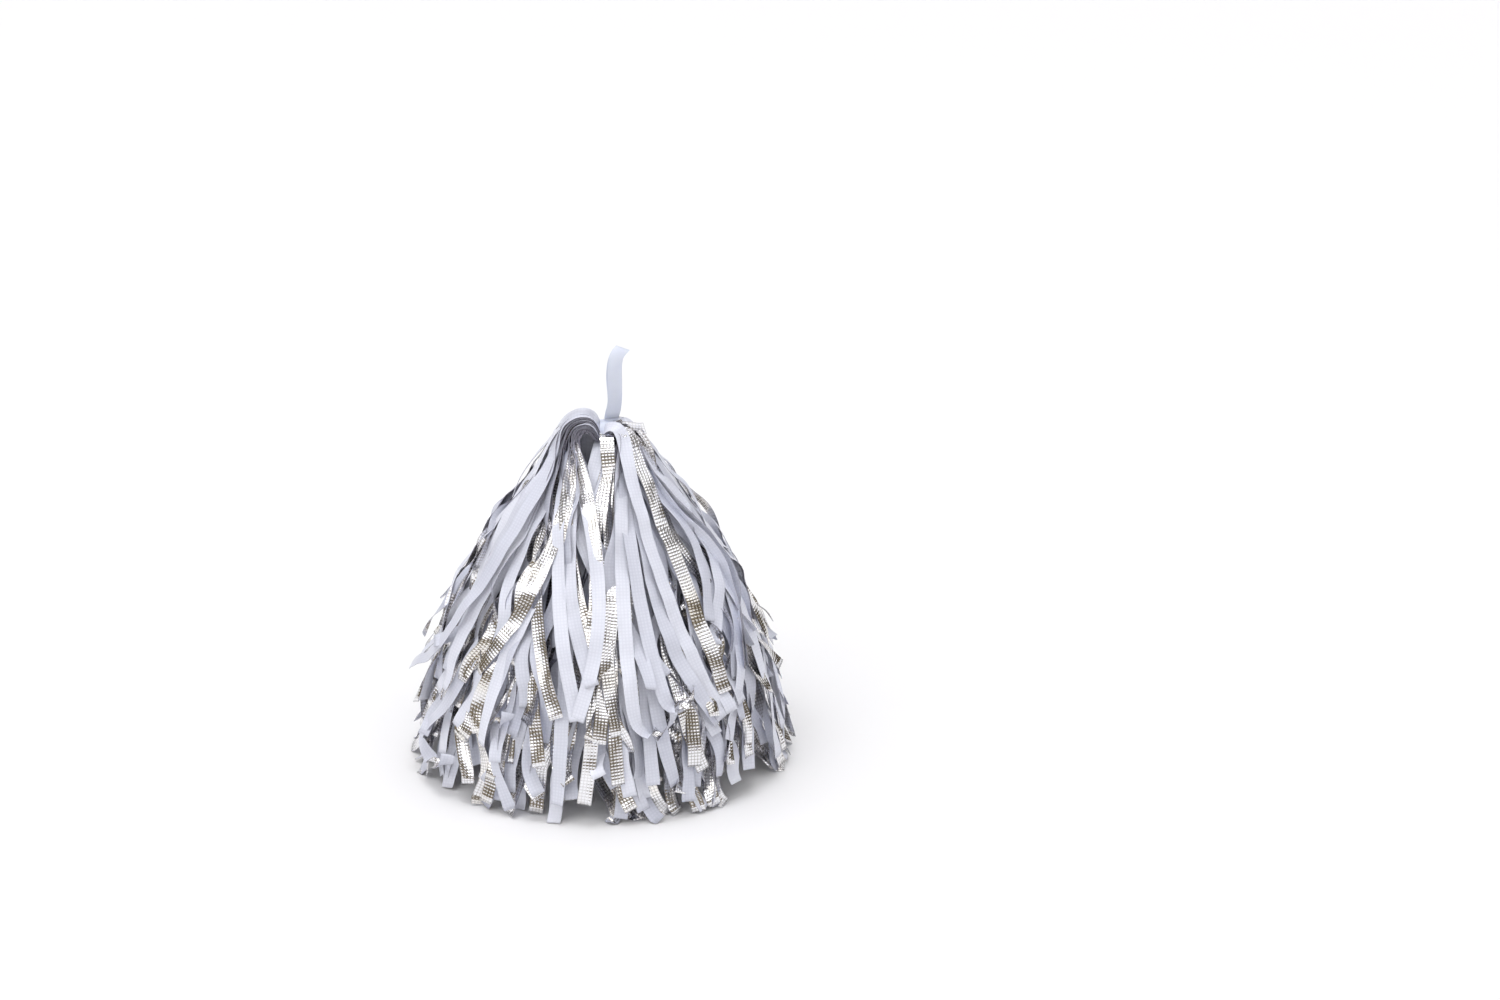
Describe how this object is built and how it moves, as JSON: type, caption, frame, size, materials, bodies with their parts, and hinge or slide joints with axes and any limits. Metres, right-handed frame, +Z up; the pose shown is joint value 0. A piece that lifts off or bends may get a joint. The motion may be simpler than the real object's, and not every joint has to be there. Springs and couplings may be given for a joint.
{
  "type": "cheer pom pom",
  "caption": "Hand-held cheer pom pom of two-faced foil strips, tied round their middles, with a finger loop on top.",
  "frame": {"origin": "on the floor, under the middle of the skirt, where the strips' lower ends stand", "axes": "+Z up, from the strips' ends to the finger loop; -Y is the front; +X is to the right seen from the front, along the bundle that the strap goes round, 5 mm right of the middle"},
  "size_m": [0.2458, 0.2458, 0.283],
  "materials": {
    "foil_strip": "silver metallised face with a fine embossed grid, satin white back",
    "strap_film": "satin white film, a little translucent"
  },
  "bodies": {
    "root": {"binding_loop": "strap_film", "gathered_waist": "foil_strip", "crown_left": "foil_strip", "crown_right": "foil_strip", "centre_tassel": "foil_strip", "inner_hank_01": "foil_strip", "inner_hank_02": "foil_strip", "inner_hank_03": "foil_strip", "inner_hank_04": "foil_strip", "inner_hank_05": "foil_strip", "inner_hank_06": "foil_strip", "inner_hank_07": "foil_strip", "inner_hank_08": "foil_strip", "inner_hank_09": "foil_strip", "inner_hank_10": "foil_strip", "inner_hank_11": "foil_strip", "inner_hank_12": "foil_strip"},
    "handle": {"handle_loop": "strap_film"},
    "outer_01": {"outer_hank_01": "foil_strip"},
    "outer_02": {"outer_hank_02": "foil_strip"},
    "outer_03": {"outer_hank_03": "foil_strip"},
    "outer_04": {"outer_hank_04": "foil_strip"},
    "outer_05": {"outer_hank_05": "foil_strip"},
    "outer_06": {"outer_hank_06": "foil_strip"},
    "outer_07": {"outer_hank_07": "foil_strip"},
    "outer_08": {"outer_hank_08": "foil_strip"},
    "outer_09": {"outer_hank_09": "foil_strip"},
    "outer_10": {"outer_hank_10": "foil_strip"},
    "outer_11": {"outer_hank_11": "foil_strip"},
    "outer_12": {"outer_hank_12": "foil_strip"},
    "middle_01": {"middle_hank_01": "foil_strip"},
    "middle_02": {"middle_hank_02": "foil_strip"},
    "middle_03": {"middle_hank_03": "foil_strip"},
    "middle_04": {"middle_hank_04": "foil_strip"},
    "middle_05": {"middle_hank_05": "foil_strip"},
    "middle_06": {"middle_hank_06": "foil_strip"},
    "middle_07": {"middle_hank_07": "foil_strip"},
    "middle_08": {"middle_hank_08": "foil_strip"},
    "middle_09": {"middle_hank_09": "foil_strip"},
    "middle_10": {"middle_hank_10": "foil_strip"},
    "middle_11": {"middle_hank_11": "foil_strip"},
    "middle_12": {"middle_hank_12": "foil_strip"}
  },
  "joints": [
    {"name": "handle_flex", "type": "hinge", "parent": "root", "child": "handle", "pos_m": [0.005, 0, 0.2344], "axis": [1, 0, 0], "range_deg": [-70, 70], "stiffness_Nm_per_rad": 0.0002},
    {"name": "outer_01_swing", "type": "hinge", "parent": "root", "child": "outer_01", "pos_m": [0.00624, -0.02327, 0.21963], "axis": [-0.9659, -0.2588, 0], "range_deg": [0, 65]},
    {"name": "outer_02_swing", "type": "hinge", "parent": "root", "child": "outer_02", "pos_m": [0.01703, -0.01703, 0.21963], "axis": [-0.7071, -0.7071, 0], "range_deg": [0, 65]},
    {"name": "outer_03_swing", "type": "hinge", "parent": "root", "child": "outer_03", "pos_m": [0.02327, -0.00624, 0.21963], "axis": [-0.2588, -0.9659, 0], "range_deg": [0, 65]},
    {"name": "outer_04_swing", "type": "hinge", "parent": "root", "child": "outer_04", "pos_m": [0.02327, 0.00624, 0.21963], "axis": [0.2588, -0.9659, 0], "range_deg": [0, 65]},
    {"name": "outer_05_swing", "type": "hinge", "parent": "root", "child": "outer_05", "pos_m": [0.01703, 0.01703, 0.21963], "axis": [0.7071, -0.7071, 0], "range_deg": [0, 65]},
    {"name": "outer_06_swing", "type": "hinge", "parent": "root", "child": "outer_06", "pos_m": [0.00624, 0.02327, 0.21963], "axis": [0.9659, -0.2588, 0], "range_deg": [0, 65]},
    {"name": "outer_07_swing", "type": "hinge", "parent": "root", "child": "outer_07", "pos_m": [-0.00624, 0.02327, 0.21963], "axis": [0.9659, 0.2588, 0], "range_deg": [0, 65]},
    {"name": "outer_08_swing", "type": "hinge", "parent": "root", "child": "outer_08", "pos_m": [-0.01703, 0.01703, 0.21963], "axis": [0.7071, 0.7071, 0], "range_deg": [0, 65]},
    {"name": "outer_09_swing", "type": "hinge", "parent": "root", "child": "outer_09", "pos_m": [-0.02327, 0.00624, 0.21963], "axis": [0.2588, 0.9659, 0], "range_deg": [0, 65]},
    {"name": "outer_10_swing", "type": "hinge", "parent": "root", "child": "outer_10", "pos_m": [-0.02327, -0.00624, 0.21963], "axis": [-0.2588, 0.9659, 0], "range_deg": [0, 65]},
    {"name": "outer_11_swing", "type": "hinge", "parent": "root", "child": "outer_11", "pos_m": [-0.01703, -0.01703, 0.21963], "axis": [-0.7071, 0.7071, 0], "range_deg": [0, 65]},
    {"name": "outer_12_swing", "type": "hinge", "parent": "root", "child": "outer_12", "pos_m": [-0.00624, -0.02327, 0.21963], "axis": [-0.9659, 0.2588, 0], "range_deg": [0, 65]},
    {"name": "middle_01_swing", "type": "hinge", "parent": "root", "child": "middle_01", "pos_m": [0.00443, -0.01652, 0.21396], "axis": [-0.9659, -0.2588, 0], "range_deg": [0, 26]},
    {"name": "middle_02_swing", "type": "hinge", "parent": "root", "child": "middle_02", "pos_m": [0.01209, -0.01209, 0.21396], "axis": [-0.7071, -0.7071, 0], "range_deg": [0, 26]},
    {"name": "middle_03_swing", "type": "hinge", "parent": "root", "child": "middle_03", "pos_m": [0.01652, -0.00443, 0.21396], "axis": [-0.2588, -0.9659, 0], "range_deg": [0, 26]},
    {"name": "middle_04_swing", "type": "hinge", "parent": "root", "child": "middle_04", "pos_m": [0.01652, 0.00443, 0.21396], "axis": [0.2588, -0.9659, 0], "range_deg": [0, 26]},
    {"name": "middle_05_swing", "type": "hinge", "parent": "root", "child": "middle_05", "pos_m": [0.01209, 0.01209, 0.21396], "axis": [0.7071, -0.7071, 0], "range_deg": [0, 26]},
    {"name": "middle_06_swing", "type": "hinge", "parent": "root", "child": "middle_06", "pos_m": [0.00443, 0.01652, 0.21396], "axis": [0.9659, -0.2588, 0], "range_deg": [0, 26]},
    {"name": "middle_07_swing", "type": "hinge", "parent": "root", "child": "middle_07", "pos_m": [-0.00443, 0.01652, 0.21396], "axis": [0.9659, 0.2588, 0], "range_deg": [0, 26]},
    {"name": "middle_08_swing", "type": "hinge", "parent": "root", "child": "middle_08", "pos_m": [-0.01209, 0.01209, 0.21396], "axis": [0.7071, 0.7071, 0], "range_deg": [0, 26]},
    {"name": "middle_09_swing", "type": "hinge", "parent": "root", "child": "middle_09", "pos_m": [-0.01652, 0.00443, 0.21396], "axis": [0.2588, 0.9659, 0], "range_deg": [0, 26]},
    {"name": "middle_10_swing", "type": "hinge", "parent": "root", "child": "middle_10", "pos_m": [-0.01652, -0.00443, 0.21396], "axis": [-0.2588, 0.9659, 0], "range_deg": [0, 26]},
    {"name": "middle_11_swing", "type": "hinge", "parent": "root", "child": "middle_11", "pos_m": [-0.01209, -0.01209, 0.21396], "axis": [-0.7071, 0.7071, 0], "range_deg": [0, 26]},
    {"name": "middle_12_swing", "type": "hinge", "parent": "root", "child": "middle_12", "pos_m": [-0.00443, -0.01652, 0.21396], "axis": [-0.9659, 0.2588, 0], "range_deg": [0, 26]}
  ],
  "couplings": [
    {"joint": "middle_01_swing", "follows": "outer_01_swing", "ratio": 0.4},
    {"joint": "middle_02_swing", "follows": "outer_02_swing", "ratio": 0.4},
    {"joint": "middle_03_swing", "follows": "outer_03_swing", "ratio": 0.4},
    {"joint": "middle_04_swing", "follows": "outer_04_swing", "ratio": 0.4},
    {"joint": "middle_05_swing", "follows": "outer_05_swing", "ratio": 0.4},
    {"joint": "middle_06_swing", "follows": "outer_06_swing", "ratio": 0.4},
    {"joint": "middle_07_swing", "follows": "outer_07_swing", "ratio": 0.4},
    {"joint": "middle_08_swing", "follows": "outer_08_swing", "ratio": 0.4},
    {"joint": "middle_09_swing", "follows": "outer_09_swing", "ratio": 0.4},
    {"joint": "middle_10_swing", "follows": "outer_10_swing", "ratio": 0.4},
    {"joint": "middle_11_swing", "follows": "outer_11_swing", "ratio": 0.4},
    {"joint": "middle_12_swing", "follows": "outer_12_swing", "ratio": 0.4}
  ]
}
